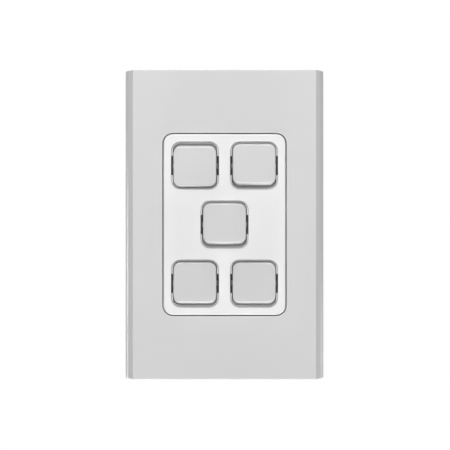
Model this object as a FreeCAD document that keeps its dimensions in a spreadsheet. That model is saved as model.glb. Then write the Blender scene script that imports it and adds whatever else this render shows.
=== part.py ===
import FreeCAD, Part
import math
import os
import Sketcher

# Five-gang grid switch plate, in millimetres.
# The wall is the plane y = 0, the front faces -Y, +X is right and +Z is up.

DRIVING = {
    # cover plate
    "plate_width": 76.6,
    "plate_height": 118.4,
    "plate_depth": 8.6,
    "flank_width": 3.35,
    "flank_flat": 1.5,
    "flank_angle": 46.0,
    "cover_wall": 1.8,
    "end_round": 0.4,
    "hook_reach": 0.7,
    "hook_height": 8.0,
    "hook_thick": 1.2,
    "hook_gap": 0.1,
    "hook_root": 0.4,
    "hook_spacing": 72.0,
    # grid plate
    "flange_gap": 1.2,
    "flange_back": 2.0,
    "flange_thick": 2.0,
    "rib_inset": 1.6,
    "rib_thick": 1.6,
    "panel_margin_side": 2.85,
    "panel_margin_end": 2.8,
    "panel_radius": 3.6,
    "panel_gap": 0.5,
    "panel_rise": 0.6,
    "panel_wall": 2.6,
    "panel_edge": 0.45,
    "gang_gap": 2.1,
    "aperture": 18.3,
    "aperture_radius": 3.7,
    "mouth_depth": 0.25,
    "groove_width": 0.34,
    "groove_depth": 1.4,
    "lip_width": 0.31,
    "trench_depth": 1.6,
    "trench_inset": 0.1,
    "slot_height": 7.3,
    "pocket_gap": 0.2,
    "core_web": 1.6,
    "fixing_spacing": 84.0,
    "fixing_radius": 2.2,
    "boss_radius": 4.6,
    # rocker cap
    "cap_gap_side": 0.3,
    "cap_gap_end": 1.3,
    "cap_gap_swing": 0.55,
    "cap_rise": 2.6,
    "cap_skirt": 3.4,
    "cap_notch": 2.0,
    "cap_notch_height": 7.0,
    "cap_step": 0.3,
    "cap_slope_side": 0.06,
    "cap_slope_end": 0.5,
    "cap_edge": 0.55,
    "cap_wall": 1.2,
    "cap_top": 1.3,
    # rocker carrier, plunger and spring
    "tilt": 5.2,
    "pivot_depth": 6.6,
    "carrier_gap": 0.15,
    "carrier_plate": 1.6,
    "carrier_height": 6.4,
    "carrier_back": 1.7,
    "shield_drop": 0.3,
    "shield_thick": 0.8,
    "shield_gap": 0.35,
    "pin_radius": 1.0,
    "pin_gap": 0.05,
    "pin_end_gap": 0.3,
    "collar_radius": 1.6,
    "collar_gap": 0.35,
    "stem_radius": 2.7,
    "stem_length": 7.8,
    "stem_bore": 1.9,
    "stem_cap": 1.4,
    "plunger_gap": 0.06,
    "plunger_length": 6.6,
    "plunger_round": 1.3,
    "plunger_reach": 12.4,
    "spigot_radius": 0.9,
    "spigot_length": 1.8,
    "spring_radius": 1.6,
    "spring_wire": 0.45,
    # contact bridge
    "bridge_gap": 0.12,
    "bridge_tilt": 7.0,
    "bridge_thick": 0.8,
    "bridge_width": 3.6,
    "bridge_end": 0.3,
    "contact_offset": 0.2,
    "button_radius": 1.3,
    "button_thick": 0.6,
    # housing
    "housing_shoulder_side": 1.05,
    "housing_shoulder_end": 0.85,
    "housing_wall": 1.2,
    "rim_drop": 0.3,
    "ear_thick": 1.65,
    "ear_height": 6.4,
    "ear_below": 2.4,
    "ear_tip_thick": 0.5,
    "ear_tip_drop": 0.9,
    "ridge_width": 8.0,
    "ridge_height": 0.5,
    "ridge_thick": 1.2,
    "ridge_back": 1.9,
    "ridge_gap": 0.15,
    "floor_thick": 1.4,
    # terminals and their screws
    "contact_gap": 0.05,
    "contact_thick": 0.4,
    "contact_radius": 1.5,
    "strip_thick": 0.9,
    "strip_width": 3.6,
    "fulcrum_radius": 0.4,
    "block_size": 6.0,
    "block_length": 6.4,
    "block_wall_side": 1.8,
    "block_wall_end": 1.6,
    "block_gap": 0.2,
    "stub_size": 3.0,
    "tunnel_size": 3.4,
    "tunnel_margin": 1.0,
    "wire_gap": 0.9,
    "screw_radius": 1.5,
    "screw_gap": 0.06,
    "head_radius": 2.4,
    "head_thick": 1.5,
    "head_slot": 0.8,
    "slot_depth": 0.8,
}

# The places of the three terminals of a switch, in block places from its middle.
TERMINALS = {"common": (1, 0), "one": (-1, 1), "two": (-1, -1)}

# The pieces that turn with a rocker.
ROCKER_PIECES = ("rocker_cap", "rocker", "toggle_spring", "plunger")

# The places of the five gangs in pitches from the middle, and whether each is switched on.
GANGS = {
    "top_left": (-0.5, 1, True),
    "top_right": (0.5, 1, False),
    "centre": (0, 0, False),
    "bottom_left": (-0.5, -1, False),
    "bottom_right": (0.5, -1, False),
}

doc = FreeCAD.newDocument("grid_switch_plate")
sheet = doc.addObject("Spreadsheet::Sheet", "Sizes")
for row, (alias, number) in enumerate(DRIVING.items(), start=1):
    sheet.set(f"A{row}", alias)
    sheet.set(f"B{row}", str(number))
    sheet.setAlias(f"B{row}", alias)
doc.recompute()


class Size(str):
    """An expression in the sheet's cells, built up with ordinary arithmetic."""

    def __add__(self, other):
        return Size(f"({str(self)} + {str(other)})")

    def __sub__(self, other):
        return Size(f"({str(self)} - {str(other)})")

    def __mul__(self, other):
        return Size(f"({str(self)} * {str(other)})")

    def __truediv__(self, other):
        return Size(f"({str(self)} / {str(other)})")

    def __neg__(self):
        return Size(f"(-1 * {str(self)})")


def size(alias):
    """The cell with this alias."""
    return Size(f"Sizes.{alias}")


ZERO = Size("0")
CLOSE = 1e-4

# Places and lengths that follow from the rocker's aperture and the housing behind it.
housing_width = size("aperture") + size("housing_shoulder_side") * 2
housing_height = size("aperture") + size("housing_shoulder_end") * 2
gang_pitch = housing_width + size("gang_gap")
block_across = (housing_width - size("block_size")) / 2 - size("block_wall_side")
block_up = (housing_height - size("block_size")) / 2 - size("block_wall_end")
contact_arm = block_up + size("contact_offset")
bridge_length = (contact_arm + size("button_radius") + size("bridge_end")) * 2

# Distances towards the front from the wall, each worked out once for the pieces that meet there.
panel_front = size("plate_depth") + size("panel_rise")
panel_back = panel_front - size("panel_wall")
cap_face = panel_front + size("cap_rise")
cap_base = panel_front - size("cap_skirt")
cap_ceiling = cap_face - size("cap_top")
pivot = cap_face - size("pivot_depth")
carrier_end = pivot - size("carrier_back")
stem_end = carrier_end - size("stem_length")
bore_end = cap_ceiling - size("carrier_plate") - size("stem_cap")
plunger_tip = pivot - size("plunger_reach")
plunger_shoulder = plunger_tip + size("plunger_length")
bridge_front = plunger_tip - size("bridge_gap")
bridge_back = bridge_front - size("bridge_thick")
bridge_swing = Size("sin(Sizes.bridge_tilt)")
bridge_upright = Size("cos(Sizes.bridge_tilt)")
button_reach = (contact_arm + size("button_radius")) * bridge_swing
contact_front = bridge_back - size("button_thick") * bridge_upright - button_reach - size("contact_gap")
strip_front = contact_front - size("contact_thick")
floor_front = strip_front - size("strip_thick")
floor_back = floor_front - size("floor_thick")
block_back = floor_back - size("block_length")
housing_back = block_back - size("block_gap")
button_back = bridge_back - size("button_thick")
tunnel_middle = floor_back - size("tunnel_margin") - size("tunnel_size") / 2

# Widths and heights that two pieces share.
face_width = size("plate_width") - size("flank_width") * 2
flank_sine = Size("sin(Sizes.flank_angle)")
flank_cosine = Size("cos(Sizes.flank_angle)")
flank_drop = size("flank_flat") * flank_sine / flank_cosine
panel_width = gang_pitch + size("aperture") + size("panel_margin_side") * 2
panel_height = gang_pitch * 2 + size("aperture") + size("panel_margin_end") * 2
opening_width = panel_width + size("panel_gap") * 2
opening_height = panel_height + size("panel_gap") * 2
flange_width = size("plate_width") - (size("cover_wall") + size("flange_gap")) * 2
flange_height = size("plate_height") - (size("cover_wall") + size("flange_gap")) * 2
flange_front = size("flange_back") + size("flange_thick")
pocket_width = housing_width + size("pocket_gap") * 2
pocket_height = housing_height + size("pocket_gap") * 2
lip_size = size("aperture") - size("groove_width") * 2
lip_radius = size("aperture_radius") - size("groove_width")
throat_width = lip_size - size("lip_width") * 2
throat_height = size("aperture") - size("trench_inset") * 2
throat_radius = lip_radius - size("lip_width")
cap_width = throat_width - size("cap_gap_side") * 2
cap_height = size("aperture") - size("cap_gap_end") * 2
cap_face_width = cap_width - size("cap_slope_side") * 2
cap_face_height = cap_height - size("cap_slope_end") * 2
cap_radius = throat_radius - size("cap_gap_side")
cap_face_radius = cap_radius - size("cap_slope_side")
cap_inner_radius = cap_face_radius - size("cap_wall")
cap_inner_width = cap_face_width - size("cap_wall") * 2
cap_inner_height = cap_face_height - size("cap_wall") * 2
cavity_width = housing_width - size("housing_wall") * 2
cavity_height = housing_height - size("housing_wall") * 2
bearing_width = housing_width - size("ear_thick") * 2


def start_body(name):
    """An empty body with this label."""
    body = doc.addObject("PartDesign::Body", name)
    body.Label = name
    return body


def start_sketch(body, name, role, across, up, out):
    """A sketch on one of the body's own planes, moved across, up and out from it."""
    sketch = body.newObject("Sketcher::SketchObject", name)
    plane = next(item for item in body.Origin.OriginFeatures if item.Role == role)
    sketch.AttachmentSupport = [(plane, "")]
    sketch.MapMode = "FlatFace"
    sketch.setExpression("AttachmentOffset.Base.x", across)
    sketch.setExpression("AttachmentOffset.Base.y", up)
    sketch.setExpression("AttachmentOffset.Base.z", out)
    return sketch


def bind(sketch, constraint, expression):
    """Adds a driving constraint whose value is the expression."""
    index = sketch.addConstraint(constraint)
    sketch.setExpression(f"Constraints[{index}]", expression)


def value(expression):
    """The number that an expression has in the sheet."""
    return float(sheet.evalExpression(expression))


def rectangle(body, name, width, height, across=ZERO, up=ZERO, out=ZERO, role="XZ_Plane"):
    """A sketch of a rectangle around its own centre."""
    sketch = start_sketch(body, name, role, across, up, out)
    half_width = value(width) / 2
    half_height = value(height) / 2
    corners = [
        FreeCAD.Vector(-half_width, -half_height),
        FreeCAD.Vector(half_width, -half_height),
        FreeCAD.Vector(half_width, half_height),
        FreeCAD.Vector(-half_width, half_height),
    ]
    for n in range(4):
        sketch.addGeometry(Part.LineSegment(corners[n], corners[(n + 1) % 4]))
    for n in range(4):
        sketch.addConstraint(Sketcher.Constraint("Coincident", n, 2, (n + 1) % 4, 1))
    for n in (0, 2):
        sketch.addConstraint(Sketcher.Constraint("Horizontal", n))
        sketch.addConstraint(Sketcher.Constraint("Vertical", n + 1))
    sketch.addConstraint(Sketcher.Constraint("Symmetric", 0, 1, 2, 1, -1, 1))
    bind(sketch, Sketcher.Constraint("DistanceX", 0, 1, 0, 2, 2 * half_width), width)
    bind(sketch, Sketcher.Constraint("DistanceY", 1, 1, 1, 2, 2 * half_height), height)
    return sketch


def rounded(body, name, width, height, radius, across=ZERO, up=ZERO, out=ZERO):
    """A sketch of a rectangle with round corners around its own centre."""
    sketch = start_sketch(body, name, "XZ_Plane", across, up, out)
    r = value(radius)
    x = value(width) / 2 - r
    z = value(height) / 2 - r
    sides = [
        ((-x, -z - r), (x, -z - r)),
        ((x + r, -z), (x + r, z)),
        ((x, z + r), (-x, z + r)),
        ((-x - r, z), (-x - r, -z)),
    ]
    quarter = math.pi / 2
    normal = FreeCAD.Vector(0, 0, 1)
    for start, end in sides:
        sketch.addGeometry(Part.LineSegment(FreeCAD.Vector(*start), FreeCAD.Vector(*end)))
    for n, (cx, cz) in enumerate([(x, -z), (x, z), (-x, z), (-x, -z)]):
        circle = Part.Circle(FreeCAD.Vector(cx, cz), normal, r)
        sketch.addGeometry(Part.ArcOfCircle(circle, (n - 1) * quarter, n * quarter))
    for n in range(4):
        sketch.addConstraint(Sketcher.Constraint("Tangent", n, 2, n + 4, 1))
        sketch.addConstraint(Sketcher.Constraint("Tangent", n + 4, 2, (n + 1) % 4, 1))
    for n in (0, 2):
        sketch.addConstraint(Sketcher.Constraint("Horizontal", n))
        sketch.addConstraint(Sketcher.Constraint("Vertical", n + 1))
    for n in (5, 6, 7):
        sketch.addConstraint(Sketcher.Constraint("Equal", 4, n))
    sketch.addConstraint(Sketcher.Constraint("Symmetric", 4, 3, 6, 3, -1, 1))
    bind(sketch, Sketcher.Constraint("Radius", 4, r), radius)
    bind(sketch, Sketcher.Constraint("DistanceX", 3, 1, 1, 1, 2 * (x + r)), width)
    bind(sketch, Sketcher.Constraint("DistanceY", 0, 1, 2, 1, 2 * (z + r)), height)
    return sketch


def circle(body, name, radius, across=ZERO, up=ZERO, out=ZERO, role="XZ_Plane"):
    """A sketch of a circle around its own centre."""
    sketch = start_sketch(body, name, role, across, up, out)
    sketch.addGeometry(Part.Circle(FreeCAD.Vector(), FreeCAD.Vector(0, 0, 1), value(radius)))
    sketch.addConstraint(Sketcher.Constraint("Coincident", 0, 3, -1, 1))
    bind(sketch, Sketcher.Constraint("Radius", 0, value(radius)), radius)
    return sketch


def extrude(body, kind, sketch, length, both_ways=False):
    """A pad or pocket of this length from the sketch, or centred on it."""
    feature = body.newObject(f"PartDesign::{kind}", f"{sketch.Label}_{kind.lower()}")
    feature.Profile = sketch
    feature.setExpression("Length", length)
    if both_ways:
        feature.SideType = "Symmetric"


def pad(body, sketch, length, both_ways=False):
    """Adds material from the sketch towards its front."""
    extrude(body, "Pad", sketch, length, both_ways)


def pocket(body, sketch, length, both_ways=False):
    """Cuts from the sketch towards its back."""
    extrude(body, "Pocket", sketch, length, both_ways)


def round_edges(body, radius, chosen):
    """Rounds those edges of the body for which chosen is true."""
    doc.recompute()
    tip = body.Tip
    names = [f"Edge{n}" for n, edge in enumerate(tip.Shape.Edges, start=1) if chosen(edge)]
    feature = body.newObject("PartDesign::Fillet", "rounding")
    feature.Base = (tip, names)
    feature.setExpression("Radius", radius)


def lies_at(edge, out):
    """Whether the whole edge lies this far in front of the wall."""
    box = edge.BoundBox
    return abs(box.YMin + value(out)) < CLOSE and box.YLength < CLOSE


def gang_place(gang):
    """How far across and up a gang is from the middle of the plate."""
    columns, rows, _ = GANGS[gang]
    return gang_pitch * columns, gang_pitch * rows


def flank_radius(back_width, face_width):
    """The radius of the curve between the flat of a flank and the side below it."""
    run = (value(back_width) - value(face_width)) / 2 - value(size("flank_flat"))
    return run / (1 - value(flank_sine))


def cover_section(body, name, back_width, face_width, front):
    """A sketch of the section across the cover: a flat face, with flanks that roll into the sides."""
    sketch = start_sketch(body, name, "XY_Plane", ZERO, ZERO, ZERO)
    x_back, x_face = value(back_width) / 2, value(face_width) / 2
    x_roll = x_face + value(size("flank_flat"))
    y_face = -value(front)
    y_roll = y_face + value(flank_drop)
    slope = math.asin(value(flank_sine))
    radius = flank_radius(back_width, face_width)
    y_side = y_roll + radius * math.cos(slope)
    normal = FreeCAD.Vector(0, 0, 1)
    right = Part.Circle(FreeCAD.Vector(x_back - radius, y_side), normal, radius)
    left = Part.Circle(FreeCAD.Vector(radius - x_back, y_side), normal, radius)
    back_left, back_right = FreeCAD.Vector(-x_back, 0), FreeCAD.Vector(x_back, 0)
    side_left, side_right = FreeCAD.Vector(-x_back, y_side), FreeCAD.Vector(x_back, y_side)
    roll_left, roll_right = FreeCAD.Vector(-x_roll, y_roll), FreeCAD.Vector(x_roll, y_roll)
    face_left, face_right = FreeCAD.Vector(-x_face, y_face), FreeCAD.Vector(x_face, y_face)
    sketch.addGeometry(Part.LineSegment(back_left, back_right))
    sketch.addGeometry(Part.LineSegment(back_right, side_right))
    sketch.addGeometry(Part.ArcOfCircle(right, slope - math.pi / 2, 0))
    sketch.addGeometry(Part.LineSegment(roll_right, face_right))
    sketch.addGeometry(Part.LineSegment(face_right, face_left))
    sketch.addGeometry(Part.LineSegment(face_left, roll_left))
    sketch.addGeometry(Part.ArcOfCircle(left, math.pi, 3 * math.pi / 2 - slope))
    sketch.addGeometry(Part.LineSegment(side_left, back_left))
    for first, end, second, start in [(0, 2, 1, 1), (3, 2, 4, 1), (4, 2, 5, 1), (7, 2, 0, 1)]:
        sketch.addConstraint(Sketcher.Constraint("Coincident", first, end, second, start))
    for first, end, second, start in [(1, 2, 2, 2), (2, 1, 3, 1), (5, 2, 6, 2), (6, 1, 7, 1)]:
        sketch.addConstraint(Sketcher.Constraint("Tangent", first, end, second, start))
    for line in (1, 7):
        sketch.addConstraint(Sketcher.Constraint("Vertical", line))
    for line in (0, 4):
        sketch.addConstraint(Sketcher.Constraint("Symmetric", line, 1, line, 2, -2))
    sketch.addConstraint(Sketcher.Constraint("Symmetric", 3, 1, 5, 2, -2))
    sketch.addConstraint(Sketcher.Constraint("PointOnObject", 0, 1, -1))
    bind(sketch, Sketcher.Constraint("DistanceX", 0, 1, 0, 2, 2 * x_back), back_width)
    bind(sketch, Sketcher.Constraint("DistanceX", 4, 2, 4, 1, 2 * x_face), face_width)
    bind(sketch, Sketcher.Constraint("DistanceY", 4, 1, -1, 1, -y_face), front)
    bind(sketch, Sketcher.Constraint("DistanceX", 4, 1, 3, 1, x_roll - x_face), size("flank_flat"))
    bind(sketch, Sketcher.Constraint("DistanceY", 4, 1, 3, 1, y_roll - y_face), flank_drop)
    return sketch


def make_cover_plate():
    """The clip-on cover: a tray with rolled flanks, a rounded opening and four hooks behind the flange."""
    body = start_body("cover_plate")
    outside = cover_section(body, "cover_outside", size("plate_width"), face_width, size("plate_depth"))
    pad(body, outside, size("plate_height"), both_ways=True)
    end = value(size("plate_height")) / 2
    roll = flank_radius(size("plate_width"), face_width) * value(flank_cosine)
    front_of_rim = value(size("plate_depth") - flank_drop) - roll

    def end_edge(edge):
        box = edge.BoundBox
        return abs(abs(box.ZMin) - end) < CLOSE and box.ZLength < CLOSE and box.YMin < -front_of_rim - CLOSE

    round_edges(body, size("end_round"), end_edge)
    inside = cover_section(
        body,
        "cover_inside",
        size("plate_width") - size("cover_wall") * 2,
        face_width - size("cover_wall"),
        size("plate_depth") - size("cover_wall"),
    )
    pocket(body, inside, size("plate_height") - size("cover_wall") * 2, both_ways=True)
    radius = size("panel_radius") + size("panel_gap")
    opening = rounded(body, "opening", opening_width, opening_height, radius, out=size("plate_depth"))
    pocket(body, opening, size("cover_wall") * 2)
    reach = size("flange_gap") + size("hook_reach")
    hook_width = reach + size("hook_root")
    middle = (size("plate_width") - hook_width) / 2 - size("cover_wall") + size("hook_root")
    hook_back = size("flange_back") - size("hook_gap") - size("hook_thick")
    for side, across in (("left", -middle), ("right", middle)):
        for level, up in (("low", -size("hook_spacing") / 2), ("high", size("hook_spacing") / 2)):
            hook = rectangle(
                body, f"hook_{side}_{level}", hook_width, size("hook_height"), across, up, hook_back
            )
            pad(body, hook, size("hook_thick"))
    return body


def cut_aperture(body, gang, across, up):
    """The stepped hole for one rocker: groove, lip, a trench above and below, a slot at each side."""
    square = size("aperture")
    groove_floor = panel_front - size("groove_depth")
    groove = rounded(body, f"groove_{gang}", square, square, size("aperture_radius"), across, up, panel_front)
    pocket(body, groove, size("groove_depth"))
    lip = rounded(body, f"lip_{gang}", lip_size, lip_size, lip_radius, across, up, groove_floor)
    pad(body, lip, size("groove_depth") - size("mouth_depth"))
    trench = rounded(
        body, f"trench_{gang}", throat_width, throat_height, throat_radius, across, up, panel_front
    )
    pocket(body, trench, size("trench_depth"))
    way = cap_height + size("cap_gap_swing") * 2
    hole = rounded(body, f"hole_{gang}", throat_width, way, throat_radius, across, up, panel_front)
    pocket(body, hole, size("panel_wall"))
    slot = rectangle(body, f"slot_{gang}", square, size("slot_height"), across, up, panel_front)
    pocket(body, slot, size("panel_wall"))


def make_grid_plate():
    """The moulding that is screwed to the wall box: flange, raised panel and a pocket for each switch."""
    body = start_body("grid_plate")
    panel = rounded(body, "panel", panel_width, panel_height, size("panel_radius"))
    pad(body, panel, panel_front)
    round_edges(body, size("panel_edge"), lambda edge: lies_at(edge, panel_front))
    flange = rectangle(body, "flange", flange_width, flange_height, out=size("flange_back"))
    pad(body, flange, size("flange_thick"))
    inset = size("rib_inset") * 2
    rib_width, rib_height = flange_width - inset, flange_height - inset
    bar = size("rib_thick")
    for side, sign in (("low", -1), ("high", 1)):
        across = (rib_width - bar) / 2 * sign
        up = (rib_height - bar) / 2 * sign
        upright = rectangle(body, f"rib_upright_{side}", bar, rib_height, across=across)
        pad(body, upright, size("flange_back"))
        level = rectangle(body, f"rib_level_{side}", rib_width, bar, up=up)
        pad(body, level, size("flange_back"))
        fixing = size("fixing_spacing") / 2 * sign
        boss = circle(body, f"boss_{side}", size("boss_radius"), up=fixing)
        pad(body, boss, size("flange_back"))
        hole = circle(body, f"fixing_hole_{side}", size("fixing_radius"), up=fixing, out=flange_front)
        pocket(body, hole, flange_front)
    side_wall = (panel_width - gang_pitch - pocket_width) / 2
    core_width = (panel_width - pocket_width) / 2 - size("core_web") - side_wall
    core_place = (pocket_width + core_width) / 2 + size("core_web")
    for side, sign in (("left", -1), ("right", 1)):
        across = core_place * sign
        core = rectangle(body, f"core_{side}", core_width, pocket_height, across, out=panel_back)
        pocket(body, core, panel_back)
    for gang in GANGS:
        across, up = gang_place(gang)
        room = rectangle(body, f"pocket_{gang}", pocket_width, pocket_height, across, up, panel_back)
        pocket(body, room, panel_back)
        latch = rectangle(
            body,
            f"latch_{gang}",
            size("ridge_width") + size("ridge_gap") * 2,
            pocket_height + size("ridge_height") * 2,
            across,
            up,
            size("ridge_back") + size("ridge_thick") + size("ridge_gap"),
        )
        pocket(body, latch, size("ridge_thick") + size("ridge_gap") * 2)
        cut_aperture(body, gang, across, up)
    return body


def make_rocker_cap():
    """The cap that is pressed: sloped walls, a rounded face and a deep skirt notched for the pins."""
    body = start_body("rocker_cap")
    shoulder = panel_front + size("cap_step")
    skirt = rounded(body, "skirt", cap_width, cap_height, cap_radius, out=cap_base)
    pad(body, skirt, shoulder - cap_base)
    foot = rounded(body, "foot", cap_width, cap_height, cap_radius, out=shoulder)
    crown = rounded(body, "crown", cap_face_width, cap_face_height, cap_face_radius, out=cap_face)
    walls = body.newObject("PartDesign::AdditiveLoft", "sloped_walls")
    walls.Profile = foot
    walls.Sections = [crown]
    walls.Ruled = True
    round_edges(body, size("cap_edge"), lambda edge: lies_at(edge, cap_face))
    hollow = rounded(body, "hollow", cap_inner_width, cap_inner_height, cap_inner_radius, out=cap_ceiling)
    pocket(body, hollow, cap_ceiling - cap_base)
    notch_top = cap_base + size("cap_notch")
    notch = rectangle(body, "notch", cap_width * 2, size("cap_notch_height"), out=notch_top)
    pocket(body, notch, size("cap_notch"))
    return body


def make_rocker():
    """The carrier in the cap, with a shield across the hole, trunnion pins and a hollow stem."""
    body = start_body("rocker")
    width = cap_inner_width - size("carrier_gap") * 2
    height = cap_inner_height - size("carrier_gap") * 2
    plate_back = cap_ceiling - size("carrier_plate")
    plate = rounded(body, "carrier_plate", width, height, cap_inner_radius, out=plate_back)
    pad(body, plate, size("carrier_plate"))
    block = rectangle(body, "carrier_block", width, size("carrier_height"), out=carrier_end)
    pad(body, block, plate_back - carrier_end)
    shield_height = cavity_height - size("shield_gap") * 2
    shield_back = cap_base - size("shield_drop") - size("shield_thick")
    shield = rounded(body, "shield", cap_width, shield_height, cap_radius, out=shield_back)
    pad(body, shield, size("shield_thick"))
    collar = circle(body, "collar", size("collar_radius"), across=-pivot, role="YZ_Plane")
    pad(body, collar, bearing_width - size("collar_gap") * 2, both_ways=True)
    pin = circle(body, "pin", size("pin_radius"), across=-pivot, role="YZ_Plane")
    pad(body, pin, housing_width - size("pin_end_gap") * 2, both_ways=True)
    stem = circle(body, "stem", size("stem_radius"), out=stem_end)
    pad(body, stem, size("stem_length"))
    bore = circle(body, "bore", size("stem_bore"), out=bore_end)
    pocket(body, bore, bore_end - stem_end)
    return body


def make_toggle_spring():
    """The compression spring, as the sleeve that its coils fill."""
    body = start_body("toggle_spring")
    length = bore_end - plunger_shoulder
    coils = circle(body, "coils", size("spring_radius"), out=plunger_shoulder)
    pad(body, coils, length)
    middle = circle(body, "middle", size("spring_radius") - size("spring_wire"), out=bore_end)
    pocket(body, middle, length)
    return body


def make_plunger():
    """The pin that the spring pushes towards the contact bridge."""
    body = start_body("plunger")
    shaft = circle(body, "shaft", size("stem_bore") - size("plunger_gap"), out=plunger_tip)
    pad(body, shaft, size("plunger_length"))
    round_edges(body, size("plunger_round"), lambda edge: lies_at(edge, plunger_tip))
    spigot = circle(body, "spigot", size("spigot_radius"), out=plunger_shoulder)
    pad(body, spigot, size("spigot_length"))
    return body


def make_contact_bridge():
    """The see-saw strip with a contact button at each end."""
    body = start_body("contact_bridge")
    strip = rectangle(body, "strip", size("bridge_width"), bridge_length, out=bridge_back)
    pad(body, strip, size("bridge_thick"))
    for end, sign in (("low", -1), ("high", 1)):
        up = contact_arm * sign
        button = circle(body, f"button_{end}", size("button_radius"), up=up, out=button_back)
        pad(body, button, size("button_thick"))
    return body


def make_mech_housing():
    """The moulded box with bearing ears in front, a floor, and terminal chambers open to the back."""
    body = start_body("mech_housing")
    rim = panel_back - size("rim_drop")
    box = rectangle(body, "box", housing_width, housing_height, out=housing_back)
    pad(body, box, rim - housing_back)
    cavity = rectangle(body, "cavity", cavity_width, cavity_height, out=rim)
    pocket(body, cavity, rim - floor_front)
    ear_back = pivot - size("ear_below")
    for side, sign in (("left", -1), ("right", 1)):
        across = (housing_width - size("ear_thick")) / 2 * sign
        ear = rectangle(body, f"ear_{side}", size("ear_thick"), size("ear_height"), across, out=ear_back)
        pad(body, ear, panel_back - ear_back)
        across = (bearing_width + size("ear_tip_thick")) / 2 * sign
        tip = rectangle(
            body, f"ear_tip_{side}", size("ear_tip_thick"), size("ear_height"), across, out=panel_back
        )
        pad(body, tip, panel_front - size("ear_tip_drop") - panel_back)
    bearing = circle(body, "bearing", size("pin_radius") + size("pin_gap"), across=-pivot, role="YZ_Plane")
    pocket(body, bearing, housing_width, both_ways=True)
    for end, sign in (("low", -1), ("high", 1)):
        up = (housing_height + size("ridge_height")) / 2 * sign
        ridge = rectangle(
            body, f"ridge_{end}", size("ridge_width"), size("ridge_height"), up=up, out=size("ridge_back")
        )
        pad(body, ridge, size("ridge_thick"))
    chamber_size = size("block_size") + size("block_gap") * 2
    slit_size = size("stub_size") + size("block_gap") * 2
    for name, (columns, rows) in TERMINALS.items():
        across, up = block_across * columns, block_up * rows
        chamber = rectangle(body, f"chamber_{name}", chamber_size, chamber_size, across, up, floor_back)
        pocket(body, chamber, floor_back - housing_back)
        slit = rectangle(body, f"slit_{name}", slit_size, slit_size, across, up, floor_front)
        pocket(body, slit, size("floor_thick"))
    window = size("tunnel_size") + size("block_gap") * 2
    end_wall = size("block_wall_end")
    wire_common = rectangle(
        body, "wire_common", window, window, -tunnel_middle, out=housing_width / 2, role="YZ_Plane"
    )
    pocket(body, wire_common, size("block_wall_side"))
    across = -block_across
    for name, out in (("one", housing_height / 2), ("two", end_wall - housing_height / 2)):
        wire = rectangle(body, f"wire_{name}", window, window, across, -tunnel_middle, out, role="XY_Plane")
        pocket(body, wire, end_wall)
    return body


def make_terminal(name):
    """A brass terminal: clamp block, stub through the floor, and the strip that meets the bridge."""
    columns, rows = TERMINALS[name]
    body = start_body(f"terminal_{name}")
    across, up = block_across * columns, block_up * rows
    block = rectangle(body, "block", size("block_size"), size("block_size"), across, up, block_back)
    pad(body, block, size("block_length"))
    stub = rectangle(body, "stub", size("stub_size"), size("stub_size"), across, up, floor_back)
    pad(body, stub, size("floor_thick"))
    far_end = block_across + size("stub_size") / 2
    length = far_end + size("contact_radius")
    middle = (far_end - size("contact_radius")) / 2 * columns
    level = contact_arm * rows
    strip = rectangle(body, "strip", length, size("strip_width"), middle, level, floor_front)
    pad(body, strip, size("strip_thick"))
    if rows:
        contact = circle(body, "contact", size("contact_radius"), up=level, out=strip_front)
        pad(body, contact, size("contact_thick"))
        tunnel_plane, tunnel_place = "XY_Plane", (across, -tunnel_middle)
    else:
        fulcrum = bridge_back - size("contact_gap") - size("fulcrum_radius")
        width = size("contact_radius") * 2
        blade = rectangle(body, "blade", width, size("fulcrum_radius") * 2, out=strip_front)
        pad(body, blade, fulcrum - strip_front)
        knife = circle(body, "knife", size("fulcrum_radius"), across=-fulcrum, role="YZ_Plane")
        pad(body, knife, width, both_ways=True)
        tunnel_plane, tunnel_place = "YZ_Plane", (-tunnel_middle, ZERO)
    tunnel = rectangle(
        body, "tunnel", size("tunnel_size"), size("tunnel_size"), *tunnel_place, role=tunnel_plane
    )
    pocket(body, tunnel, (block_across + size("block_size")) * 2, both_ways=True)
    hole = circle(body, "screw_hole", size("screw_radius") + size("screw_gap"), across, up, tunnel_middle)
    pocket(body, hole, tunnel_middle - block_back)
    return body


def make_terminal_screws():
    """The three slotted clamp screws of one switch, placed behind their terminals."""
    body = start_body("terminal_screw")
    head_back = block_back - size("head_thick")
    head = circle(body, "head", size("head_radius"), out=head_back)
    pad(body, head, size("head_thick"))
    shank = circle(body, "shank", size("screw_radius"), out=block_back)
    pad(body, shank, tunnel_middle - block_back - size("wire_gap"))
    slot_floor = head_back + size("slot_depth")
    slot = rectangle(body, "slot", size("head_slot"), size("head_radius") * 2, out=slot_floor)
    pocket(body, slot, size("slot_depth"))
    screws = []
    for name, (columns, rows) in TERMINALS.items():
        screw = place(body, f"screw_{name}", block_across * columns, block_up * rows)
        screws.append(screw)
    group = doc.addObject("Part::Compound", "terminal_screws")
    group.Links = screws
    return group


def place(piece, label, across, up, angle=ZERO, out=ZERO):
    """A copy of a piece, moved across and up and turned about the X axis at this distance in front."""
    copy = doc.addObject("App::Link", label)
    copy.Label = label
    copy.LinkedObject = piece
    move = f"vector({across}; 0; {up})"
    turn = f"rotation(vector(1; 0; 0); {angle})"
    copy.setExpression("Placement", f"placement({move}; {turn}; vector(0; {-out}; 0))")
    return copy


def place_switch(gang, pieces):
    """The pieces of one switch at its gang, with the rocker and the bridge turned to on or off."""
    across, up = gang_place(gang)
    sign = 1 if GANGS[gang][2] else -1
    turned = {name: (size("tilt") * sign, pivot) for name in ROCKER_PIECES}
    turned["contact_bridge"] = (size("bridge_tilt") * -sign, bridge_back)
    copies = []
    for name, piece in pieces.items():
        angle, out = turned.get(name, (ZERO, ZERO))
        copies.append(place(piece, f"{name}_{gang}", across, up, angle, out))
    return copies


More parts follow.
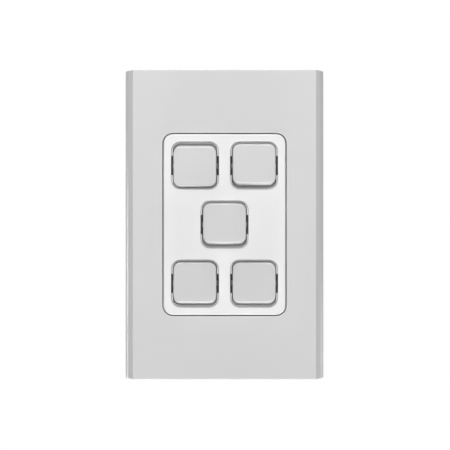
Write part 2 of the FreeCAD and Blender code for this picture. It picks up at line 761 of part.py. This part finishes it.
def check_document():
    """Stops if any feature failed, has no sound shape or changes nothing."""
    for item in doc.Objects:
        if "Invalid" in item.State or "Error" in item.State:
            raise RuntimeError(f"{item.Label} failed: {item.State}")
        if item.TypeId == "PartDesign::Body" and (item.Shape.isNull() or not item.Shape.isValid()):
            raise RuntimeError(f"{item.Label} has no sound shape")
        if item.TypeId == "PartDesign::Pocket" and item.Shape.Volume >= item.BaseFeature.Shape.Volume:
            raise RuntimeError(f"{item.Label} cuts nothing")


def main():
    """Builds every piece and writes each one to its own file."""
    subparts = [make_cover_plate(), make_grid_plate()]
    pieces = {
        "rocker_cap": make_rocker_cap(),
        "rocker": make_rocker(),
        "toggle_spring": make_toggle_spring(),
        "plunger": make_plunger(),
        "contact_bridge": make_contact_bridge(),
        "mech_housing": make_mech_housing(),
    }
    for name in TERMINALS:
        pieces[f"terminal_{name}"] = make_terminal(name)
    pieces["terminal_screws"] = make_terminal_screws()
    for gang in GANGS:
        subparts += place_switch(gang, pieces)
    doc.recompute()
    check_document()
    os.makedirs("parts", exist_ok=True)
    for subpart in subparts:
        subpart.Shape.exportStep(f"parts/{subpart.Label}.step")


main()
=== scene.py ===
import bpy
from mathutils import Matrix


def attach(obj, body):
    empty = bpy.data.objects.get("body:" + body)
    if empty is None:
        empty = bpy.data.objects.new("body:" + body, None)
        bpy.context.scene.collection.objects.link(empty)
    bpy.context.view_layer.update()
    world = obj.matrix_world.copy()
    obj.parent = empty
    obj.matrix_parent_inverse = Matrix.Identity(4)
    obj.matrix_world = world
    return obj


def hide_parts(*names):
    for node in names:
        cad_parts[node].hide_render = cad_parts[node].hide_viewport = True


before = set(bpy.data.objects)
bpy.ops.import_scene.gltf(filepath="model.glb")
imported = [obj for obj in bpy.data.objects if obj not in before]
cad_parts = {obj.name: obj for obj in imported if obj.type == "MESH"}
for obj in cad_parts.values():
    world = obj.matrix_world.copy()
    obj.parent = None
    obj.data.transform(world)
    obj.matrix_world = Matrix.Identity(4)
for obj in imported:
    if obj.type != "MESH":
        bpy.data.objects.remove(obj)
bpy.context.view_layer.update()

import logging
import math
from dataclasses import dataclass
from enum import Enum
from typing import Any, Union

import bpy
import numpy as np
from mathutils import Vector

log = logging.getLogger("grid_switch_plate")

IMAGE_SIDE = 450
PANEL_FRONT = 0.0092
PLASTIC_IOR = 1.5
NOISE_MIDDLE = 0.5
TOUCHING = 1e-6
FACE_WEIGHT = 100

Number = Union[int, float]
Triple = tuple[float, float, float]


class Signal:
    """A shader value whose arithmetic adds Math nodes."""

    def __init__(self, tree: bpy.types.NodeTree, socket: bpy.types.NodeSocket) -> None:
        """Wraps an output socket of the tree."""
        self.tree = tree
        self.socket = socket

    def math(self, operation: str, *values: Union["Signal", Number]) -> "Signal":
        """Adds one Math node.

        Args:
            operation: The node's operation.
            values: Its inputs in order, each a signal or a number.

        Returns:
            The node's result.
        """
        node = self.tree.nodes.new("ShaderNodeMath")
        node.operation = operation
        for socket, value in zip(node.inputs, values):
            if isinstance(value, Signal):
                self.tree.links.new(value.socket, socket)
            else:
                socket.default_value = value
        return Signal(self.tree, node.outputs[0])

    def __add__(self, other: Union["Signal", Number]) -> "Signal":
        """The sum."""
        return self.math("ADD", self, other)

    __radd__ = __add__

    def __sub__(self, other: Union["Signal", Number]) -> "Signal":
        """The difference."""
        return self.math("SUBTRACT", self, other)

    def __rsub__(self, other: Number) -> "Signal":
        """The difference the other way round."""
        return self.math("SUBTRACT", other, self)

    def __mul__(self, other: Union["Signal", Number]) -> "Signal":
        """The product."""
        return self.math("MULTIPLY", self, other)

    __rmul__ = __mul__

    def above(self, other: Union["Signal", Number]) -> "Signal":
        """The greater of the two."""
        return self.math("MAXIMUM", self, other)

    def below(self, other: Union["Signal", Number]) -> "Signal":
        """The lesser of the two."""
        return self.math("MINIMUM", self, other)

    def ramp(self, start: float, full: float) -> "Signal":
        """Nought up to the start, one from the full value on, and a straight rise between them."""
        return ((self - start) * (1 / (full - start))).above(0.0).below(1.0)


class Graph:
    """The node tree of a material or world while it is put together."""

    def __init__(self, owner: Union[bpy.types.Material, bpy.types.World]) -> None:
        """Starts an empty tree on its owner."""
        owner.use_nodes = True
        self.tree = owner.node_tree
        self.tree.nodes.clear()

    def node(self, kind: str, settings: dict[str, Any], inputs: dict[str, Any]) -> bpy.types.Node:
        """Adds any node.

        Args:
            kind: The node's type.
            settings: Its properties, which are set first.
            inputs: Values or signals for its input sockets, by name.

        Returns:
            The new node.
        """
        node = self.tree.nodes.new(kind)
        for name, value in settings.items():
            setattr(node, name, value)
        for name, value in inputs.items():
            socket = next(item for item in node.inputs if item.name == name and item.enabled)
            if isinstance(value, Signal):
                self.tree.links.new(value.socket, socket)
            else:
                socket.default_value = value
        return node

    def out(self, node: bpy.types.Node, name: str) -> Signal:
        """One output of a node as a signal."""
        socket = next(item for item in node.outputs if item.name == name and item.enabled)
        return Signal(self.tree, socket)

    def place(self) -> Signal:
        """The Object coordinates."""
        return self.out(self.node("ShaderNodeTexCoord", {}, {}), "Object")

    def noise(self, place: Signal, grain: float, detail: float = 2.0) -> Signal:
        """Noise whose features are about this many metres across."""
        inputs = {"Vector": place, "Scale": 1 / grain, "Detail": detail}
        return self.out(self.node("ShaderNodeTexNoise", {}, inputs), "Fac")

    def stretched(self, place: Signal, scale: Triple) -> Signal:
        """The coordinates scaled along each axis."""
        inputs = {"Vector": place, "Scale": scale}
        return self.out(self.node("ShaderNodeMapping", {}, inputs), "Vector")

    def mix(self, factor: Signal, first: Union[Signal, Triple], second: Triple) -> Signal:
        """A colour between two others."""
        start = first if isinstance(first, Signal) else (*first, 1.0)
        inputs = {"Factor": factor, "A": start, "B": (*second, 1.0)}
        return self.out(self.node("ShaderNodeMix", {"data_type": "RGBA"}, inputs), "Result")

    def bump(self, height: Signal, distance: float, strength: float) -> Signal:
        """A normal from a height between 0 and 1, over a distance in metres."""
        inputs = {"Height": height, "Distance": distance, "Strength": strength}
        return self.out(self.node("ShaderNodeBump", {}, inputs), "Normal")

    def seen(self) -> Signal:
        """One for what the eye sees, straight, mirrored or through glass, and nought for light."""
        path = self.node("ShaderNodeLightPath", {}, {})
        seen = self.out(path, "Is Camera Ray").above(self.out(path, "Is Glossy Ray"))
        return seen.above(self.out(path, "Is Transmission Ray"))

    def shade(self, inputs: dict[str, Any]) -> None:
        """Ends a material with a Principled shader that has these inputs."""
        shader = self.node("ShaderNodeBsdfPrincipled", {}, inputs)
        self.node("ShaderNodeOutputMaterial", {}, {"Surface": self.out(shader, "BSDF")})


@dataclass(frozen=True)
class MouldedPlastic:
    """A moulded plastic with faint clouding and a fine spark-eroded grain."""

    name: str
    colour: Triple
    roughness: float = 0.38
    roughness_swing: float = 0.12
    cloud: float = 0.02
    cloud_size: float = 0.018
    grain: float = 0.00022
    depth: float = 0.000004
    relief: float = 0.5

    def tint(self, graph: Graph, place: Signal) -> Signal:
        """The colour with its clouding.

        Args:
            graph: The material's tree.
            place: The Object coordinates.

        Returns:
            The colour over the surface.
        """
        clouds = graph.noise(place, self.cloud_size)
        low = tuple(part * (1 - self.cloud) for part in self.colour)
        high = tuple(min(1.0, part * (1 + self.cloud)) for part in self.colour)
        return graph.mix(clouds, low, high)

    def material(self) -> bpy.types.Material:
        """The plastic as a material."""
        material = bpy.data.materials.new(self.name)
        graph = Graph(material)
        place = graph.place()
        grain = graph.noise(place, self.grain)
        inputs = {
            "Base Color": self.tint(graph, place),
            "Roughness": self.roughness + (grain - NOISE_MIDDLE) * self.roughness_swing,
            "IOR": PLASTIC_IOR,
            "Normal": graph.bump(grain, self.depth, self.relief),
        }
        graph.shade(inputs)
        return material


@dataclass(frozen=True)
class PanelPlasticWithPaintedShade(MouldedPlastic):
    """The panel's plastic, with painted shade: its colour is greyer in the sunk edges round the rockers,
    standing in for the shade that falls in those grooves and trenches.
    """

    # Colour of the painted shade in the recesses round the rockers.
    painted_shade: Triple = (0.66, 0.66, 0.66)
    sunk: tuple[float, float] = (0.00028, 0.00045)
    wall: float = 0.0026
    reach: tuple[float, float] = (0.0215, 0.0328)

    def tint(self, graph: Graph, place: Signal) -> Signal:
        """The clouded colour, darkened below the panel's front inside the area of the rockers, as
        painted shade in the recesses.

        Args:
            graph: The material's tree.
            place: The Object coordinates.

        Returns:
            The colour over the surface.
        """
        split = graph.node("ShaderNodeSeparateXYZ", {}, {"Vector": place})
        across, back, up = (graph.out(split, axis) for axis in "XYZ")
        depth = back + PANEL_FRONT
        # Painted shade: the grooves and trenches round the rockers are darkened in the colour, where
        # shade falls.
        painted_shade_mask = depth.ramp(*self.sunk) * depth.math("LESS_THAN", depth, self.wall)
        for side, limit in zip((across, up), self.reach):
            painted_shade_mask = painted_shade_mask * side.math("LESS_THAN", side.math("ABSOLUTE", side), limit)
        return graph.mix(painted_shade_mask, super().tint(graph, place), self.painted_shade)


@dataclass(frozen=True)
class DrawnMetal:
    """A bright metal with drawing lines along one axis and a light tarnish."""

    name: str
    colour: Triple
    tarnish: Triple
    roughness: float = 0.3
    along: Triple = (1.0, 1.0, 0.12)
    line_size: float = 0.0003
    line_depth: float = 0.000006
    line_relief: float = 0.4
    line_swing: float = 0.2
    stain_size: float = 0.004
    stain_detail: float = 4.0
    stain_swing: float = 0.08

    def material(self) -> bpy.types.Material:
        """The metal as a material."""
        material = bpy.data.materials.new(self.name)
        graph = Graph(material)
        place = graph.place()
        lines = graph.noise(graph.stretched(place, self.along), self.line_size)
        stains = graph.noise(place, self.stain_size, self.stain_detail)
        rough = self.roughness + (lines - NOISE_MIDDLE) * self.line_swing
        inputs = {
            "Base Color": graph.mix(stains, self.colour, self.tarnish),
            "Metallic": 1.0,
            "Roughness": rough + stains * self.stain_swing,
            "Normal": graph.bump(lines, self.line_depth, self.line_relief),
        }
        graph.shade(inputs)
        return material


COVER_GREY = MouldedPlastic("cover_grey", (0.66, 0.66, 0.66), roughness=0.23)
# The panel's white carries painted shade in the sunk edges round the rockers.
PANEL_WHITE = PanelPlasticWithPaintedShade("panel_white", (0.85, 0.85, 0.85), roughness=0.24)
CAP_GREY = MouldedPlastic("cap_grey", (0.635, 0.635, 0.635), roughness=0.22)
CARRIER_WHITE = MouldedPlastic("carrier_white", (0.74, 0.74, 0.72))
PLUNGER_NYLON = MouldedPlastic("plunger_nylon", (0.78, 0.77, 0.72), roughness=0.45)
HOUSING_DARK = MouldedPlastic("housing_dark", (0.045, 0.045, 0.048), roughness=0.5, cloud=0.08)
SPRING_STEEL = DrawnMetal("spring_steel", (0.56, 0.57, 0.58), (0.47, 0.47, 0.47), roughness=0.25)
CONTACT_BRASS = DrawnMetal("contact_brass", (0.86, 0.66, 0.33), (0.70, 0.50, 0.24))
TERMINAL_BRASS = DrawnMetal("terminal_brass", (0.83, 0.63, 0.32), (0.66, 0.48, 0.24), roughness=0.34)
SCREW_STEEL = DrawnMetal("screw_steel", (0.62, 0.62, 0.61), (0.52, 0.51, 0.49), roughness=0.28)

Finish = Union[MouldedPlastic, DrawnMetal]


class Wardrobe:
    """Makes each finish once and puts it on the pieces."""

    def __init__(self) -> None:
        """Starts with no materials."""
        self.made: dict[str, bpy.types.Material] = {}

    def dress(self, piece: bpy.types.Object, finish: Finish) -> None:
        """Gives a piece its finish and the slot of that name.

        Args:
            piece: The object to dress.
            finish: Its finish, whose name is also its slot in the record.
        """
        if finish.name not in self.made:
            self.made[finish.name] = finish.material()
        piece.data.materials.clear()
        piece.data.materials.append(self.made[finish.name])
        log.info("%s: %s", piece.name, finish.name)


def soften(piece: bpy.types.Object, crease: float) -> None:
    """Shades a CAD node smoothly, apart from edges that turn by more than the crease.

    Args:
        piece: The node.
        crease: The least turn of an edge that stays sharp, in degrees.
    """
    weld = piece.modifiers.new("weld", "WELD")
    weld.merge_threshold = TOUCHING
    split = piece.modifiers.new("creases", "EDGE_SPLIT")
    split.split_angle = math.radians(crease)
    normals = piece.modifiers.new("flat_faces", "WEIGHTED_NORMAL")
    normals.weight = FACE_WEIGHT
    normals.keep_sharp = True


def tube(name: str, path: np.ndarray, axis: np.ndarray, radius: float, sides: int) -> bpy.types.Object:
    """A closed round wire wound along a path.

    The ring at each point of the path is the circle centre + radius * (cos a * side + sin a * up), where
    side is the cross product of the path's direction and the winding's axis, up is the cross product of
    side and direction, and a runs once round in equal steps. A flat face closes each end.

    Args:
        name: The new object's name.
        path: The points of the middle line, one a row, in metres.
        axis: The direction that the path winds round.
        radius: The wire's radius in metres.
        sides: The number of points round the wire.

    Returns:
        The new object at the origin.
    """
    along = np.gradient(path, axis=0)
    along /= np.linalg.norm(along, axis=1, keepdims=True)
    side = np.cross(along, axis)
    side /= np.linalg.norm(side, axis=1, keepdims=True)
    up = np.cross(side, along)
    turn = np.linspace(0, 2 * np.pi, sides, endpoint=False)
    rings = (
        path[:, None, :]
        + radius * np.cos(turn)[None, :, None] * side[:, None, :]
        + radius * np.sin(turn)[None, :, None] * up[:, None, :]
    )
    rows, columns = np.meshgrid(np.arange(len(path) - 1), np.arange(sides), indexing="ij")
    after = (columns + 1) % sides
    here, onward = rows * sides, (rows + 1) * sides
    corners = [here + columns, here + after, onward + after, onward + columns]
    quads = np.stack(corners, axis=-1).reshape(-1, 4)
    last = (len(path) - 1) * sides
    ends = [list(range(sides))[::-1], list(range(last, last + sides))]
    mesh = bpy.data.meshes.new(name)
    mesh.from_pydata(rings.reshape(-1, 3).tolist(), [], quads.tolist() + ends)
    mesh.update()
    mesh.shade_smooth()
    piece = bpy.data.objects.new(name, mesh)
    bpy.context.scene.collection.objects.link(piece)
    return piece


class Gang(Enum):
    """The five places of a switch in the plate."""

    TOP_LEFT = "top_left"
    TOP_RIGHT = "top_right"
    CENTRE = "centre"
    BOTTOM_LEFT = "bottom_left"
    BOTTOM_RIGHT = "bottom_right"

    def node(self, piece: str) -> bpy.types.Object:
        """The CAD node of this piece at this place."""
        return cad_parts[f"{piece}_{self.value}"]


@dataclass
class CoverPlate:
    """The clip-on cover with its rolled flanks."""

    wardrobe: Wardrobe
    crease: float = 18.0

    def dress(self) -> None:
        """Shades the rolls smoothly and gives the cover its grey."""
        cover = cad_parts["cover_plate"]
        soften(cover, self.crease)
        self.wardrobe.dress(cover, COVER_GREY)


@dataclass
class GridPlate:
    """The white moulding with the raised panel."""

    wardrobe: Wardrobe
    crease: float = 32.0

    def dress(self) -> None:
        """Shades the rounded edges smoothly and gives the moulding its white."""
        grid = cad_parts["grid_plate"]
        soften(grid, self.crease)
        self.wardrobe.dress(grid, PANEL_WHITE)


@dataclass
class RockerSwitch:
    """The turning pieces of one switch: cap, carrier, plunger and the coiled spring between them."""

    wardrobe: Wardrobe
    gang: Gang
    crease: float = 32.0
    coils: float = 6.5
    closed: float = 0.12
    wire_radius: float = 0.00021
    path_points: int = 260
    wire_sides: int = 10

    def spring_axis(self, sleeve: np.ndarray) -> np.ndarray:
        """The direction of the spring, along the line on the sleeve that is furthest to the right.

        Args:
            sleeve: The vertices of the CAD node that the spring stands for.

        Returns:
            A vector of length one, from front to back.
        """
        line = sleeve[sleeve[:, 0] > sleeve[:, 0].max() - TOUCHING]
        axis = line[line[:, 1].argmax()] - line[line[:, 1].argmin()]
        axis[0] = 0.0
        return axis / np.linalg.norm(axis)

    def spring_path(self, sleeve: np.ndarray, axis: np.ndarray) -> np.ndarray:
        """The middle line of the spring's wire.

        A point at share t of the wire is middle + (2 * rise - 1) * half * axis + radius * (cos a * side
        + sin a * up), where a = 2 pi * coils * t, and rise goes from 0 to 1 but only slowly over the
        first and last parts of the wire, so that the end coils lie closed.

        Args:
            sleeve: The vertices of the CAD node that the spring stands for.
            axis: The spring's direction.

        Returns:
            The points of the wire, one a row.
        """
        middle = (sleeve.min(axis=0) + sleeve.max(axis=0)) / 2
        side = np.array([1.0, 0.0, 0.0])
        up = np.cross(axis, side)
        reach = (sleeve - middle) @ axis
        half = min(reach.max(), -reach.min()) - self.wire_radius
        radius = np.abs(sleeve[:, 0] - middle[0]).max() - self.wire_radius
        share = np.linspace(0, 1, self.path_points)
        angle = 2 * np.pi * self.coils * share
        climb = np.clip((share - self.closed) / (1 - 2 * self.closed), 0, 1)
        rise = climb * (1 - self.closed) + share * self.closed
        return (
            middle
            + ((2 * rise - 1) * half)[:, None] * axis
            + radius * np.cos(angle)[:, None] * side
            + radius * np.sin(angle)[:, None] * up
        )

    def build(self) -> bpy.types.Object:
        """Winds the spring in place of its plain sleeve.

        Returns:
            The coiled spring.
        """
        node = self.gang.node("toggle_spring")
        sleeve = np.empty(len(node.data.vertices) * 3, dtype=np.float32)
        node.data.vertices.foreach_get("co", sleeve)
        sleeve = sleeve.reshape(-1, 3).astype(float)
        axis = self.spring_axis(sleeve)
        path = self.spring_path(sleeve, axis)
        spring = tube(f"spring_coil_{self.gang.value}", path, axis, self.wire_radius, self.wire_sides)
        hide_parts(node.name)
        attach(spring, f"rocker_{self.gang.value}")
        return spring

    def dress(self, spring: bpy.types.Object) -> None:
        """Gives the turning pieces their finishes.

        Args:
            spring: The coiled spring.
        """
        finishes = {"rocker_cap": CAP_GREY, "rocker": CARRIER_WHITE, "plunger": PLUNGER_NYLON}
        for name, finish in finishes.items():
            piece = self.gang.node(name)
            soften(piece, self.crease)
            self.wardrobe.dress(piece, finish)
        self.wardrobe.dress(spring, SPRING_STEEL)


@dataclass
class SwitchMechanism:
    """The fixed pieces of one switch and its contact bridge."""

    wardrobe: Wardrobe
    gang: Gang
    crease: float = 32.0

    def dress(self) -> None:
        """Gives the housing, contacts and terminals their finishes."""
        finishes = {
            "mech_housing": HOUSING_DARK,
            "contact_bridge": CONTACT_BRASS,
            "terminal_common": TERMINAL_BRASS,
            "terminal_one": TERMINAL_BRASS,
            "terminal_two": TERMINAL_BRASS,
            "terminal_screws": SCREW_STEEL,
        }
        for name, finish in finishes.items():
            piece = self.gang.node(name)
            soften(piece, self.crease)
            self.wardrobe.dress(piece, finish)


@dataclass(frozen=True)
class Softbox:
    """A soft rectangular lamp that points at the plate's middle.

    Its level is the grey that it alone would give a white surface at the plate's middle that faces it,
    and a lamp that isn't mirrored stays out of reflections.
    """

    name: str
    place: Triple
    width: float
    height: float
    level: float
    mirrored: bool = True

    def build(self) -> bpy.types.Object:
        """Makes the lamp, with power = level * pi^2 * distance^2.

        Returns:
            The lamp's object.
        """
        away = Vector(self.place)
        lamp = bpy.data.lights.new(self.name, "AREA")
        lamp.shape = "RECTANGLE"
        lamp.size = self.width
        lamp.size_y = self.height
        lamp.energy = self.level * math.pi**2 * away.length_squared
        piece = bpy.data.objects.new(self.name, lamp)
        piece.location = away
        piece.visible_camera = False
        piece.visible_glossy = self.mirrored
        piece.rotation_euler = away.to_track_quat("Z", "Y").to_euler()
        bpy.context.scene.collection.objects.link(piece)
        return piece


SOFTBOXES = (
    Softbox("key_above_front", (0.0, -0.62, 0.46), 0.6, 0.35, 0.61),
    Softbox("fill_front", (0.0, -1.3, 0.1), 1.0, 1.0, 0.25),
    Softbox("fill_below_front", (0.0, -1.1, -0.75), 0.8, 0.5, 0.22),
    Softbox("edge_above", (0.0, -0.025, 0.70), 0.25, 0.08, 0.55, mirrored=False),
    Softbox("edge_below", (0.0, -0.065, -1.20), 0.45, 0.10, 1.00, mirrored=False),
    Softbox("edge_left", (-0.8, -0.10, 0.0), 0.05, 0.7, 0.02),
    Softbox("edge_right", (0.8, -0.10, 0.0), 0.05, 0.7, 0.035),
    Softbox("rim_left", (-0.70, 0.38, -0.15), 0.05, 0.40, 0.17),
    Softbox("rim_right", (0.71, 0.36, -0.24), 0.08, 0.34, 0.09),
    Softbox("fill_back", (0.0, 1.1, 0.6), 0.8, 0.8, 0.42),
)


@dataclass
class Studio:
    """A pale floor, a white surround, soft lamps and the camera straight in front."""

    ambient: float = 0.012
    floor_level: float = -1.30
    floor_fade: tuple[float, float] = (1.6, 2.1)
    floor_half: float = 4.0
    floor_cells: int = 8
    floor_grey: float = 0.9
    floor_lift: float = 0.65
    camera_distance: float = 0.400
    sensor_width: float = 36.0
    clip_start: float = 0.01
    pixels_per_metre: float = 2624.0
    middle_pixel: tuple[float, float] = (224.5, 224.5)

    def surround(self) -> None:
        """A world that is white to the eye and in reflections and dimmer as a light."""
        world = bpy.data.worlds.new("surround")
        bpy.context.scene.world = world
        graph = Graph(world)
        strength = graph.seen() * (1 - self.ambient) + self.ambient
        inputs = {"Color": (1.0, 1.0, 1.0, 1.0), "Strength": strength}
        background = graph.node("ShaderNodeBackground", {}, inputs)
        graph.node("ShaderNodeOutputWorld", {}, {"Surface": graph.out(background, "Background")})

    def floor_material(self) -> bpy.types.Material:
        """A pale matt floor, lifted towards white, which fades to white away from the plate.

        Returns:
            The material.
        """
        material = bpy.data.materials.new("floor_white")
        graph = Graph(material)
        distance = graph.node("ShaderNodeVectorMath", {"operation": "LENGTH"}, {"Vector": graph.place()})
        away = graph.out(distance, "Value").ramp(*self.floor_fade)
        lift = graph.seen() * (self.floor_lift + (1 - self.floor_lift) * away)
        grey = (self.floor_grey, self.floor_grey, self.floor_grey, 1.0)
        matt = graph.node("ShaderNodeBsdfDiffuse", {}, {"Color": grey})
        glow = {"Color": (1.0, 1.0, 1.0, 1.0), "Strength": 1.0}
        white = graph.node("ShaderNodeEmission", {}, glow)
        blend = graph.node("ShaderNodeMixShader", {}, {"Fac": lift})
        graph.tree.links.new(matt.outputs[0], blend.inputs[1])
        graph.tree.links.new(white.outputs[0], blend.inputs[2])
        graph.node("ShaderNodeOutputMaterial", {}, {"Surface": graph.out(blend, "Shader")})
        return material

    def floor(self) -> bpy.types.Object:
        """A wide floor below the plate.

        Its points are floor_half * (u, v) at the floor's level for u and v in -1 to 1.

        Returns:
            The floor.
        """
        stride = self.floor_cells + 1
        steps = np.linspace(-1, 1, stride)
        across, back = np.meshgrid(steps, steps, indexing="ij")
        points = np.stack([across, back, np.zeros_like(across)], axis=-1) * self.floor_half
        points[..., 2] = self.floor_level
        cells = np.arange(self.floor_cells)
        rows, columns = np.meshgrid(cells, cells, indexing="ij")
        first = rows * stride + columns
        quads = np.stack([first, first + stride, first + stride + 1, first + 1], axis=-1).reshape(-1, 4)
        mesh = bpy.data.meshes.new("floor")
        mesh.from_pydata(points.reshape(-1, 3).tolist(), [], quads.tolist())
        floor = bpy.data.objects.new("floor", mesh)
        bpy.context.scene.collection.objects.link(floor)
        mesh.materials.append(self.floor_material())
        return floor

    def camera(self) -> bpy.types.Object:
        """A camera on the plate's axis whose frame shows the panel at the photograph's scale.

        Returns:
            The camera.
        """
        lens = bpy.data.cameras.new("camera")
        lens.sensor_width = self.sensor_width
        lens.lens = self.sensor_width * self.camera_distance * self.pixels_per_metre / IMAGE_SIDE
        lens.clip_start = self.clip_start
        camera = bpy.data.objects.new("camera", lens)
        right = (IMAGE_SIDE / 2 - self.middle_pixel[0]) / self.pixels_per_metre
        down = (IMAGE_SIDE / 2 - self.middle_pixel[1]) / self.pixels_per_metre
        camera.location = (right, -PANEL_FRONT - self.camera_distance, -down)
        camera.rotation_euler = (math.pi / 2, 0.0, 0.0)
        bpy.context.scene.collection.objects.link(camera)
        bpy.context.scene.camera = camera
        return camera

    def build(self) -> None:
        """Sets up the whole studio."""
        bpy.context.scene.view_settings.view_transform = "Standard"
        self.surround()
        self.floor()
        for box in SOFTBOXES:
            box.build()
        self.camera()
        log.info("studio: %d lamps", len(SOFTBOXES))


def main() -> None:
    """Builds and dresses the plate, then sets up the studio round it."""
    logging.basicConfig(level=logging.INFO, format="%(name)s %(message)s")
    wardrobe = Wardrobe()
    CoverPlate(wardrobe).dress()
    GridPlate(wardrobe).dress()
    for gang in Gang:
        switch = RockerSwitch(wardrobe, gang)
        switch.dress(switch.build())
        SwitchMechanism(wardrobe, gang).dress()
    Studio().build()


if __name__ == "__main__":
    main()
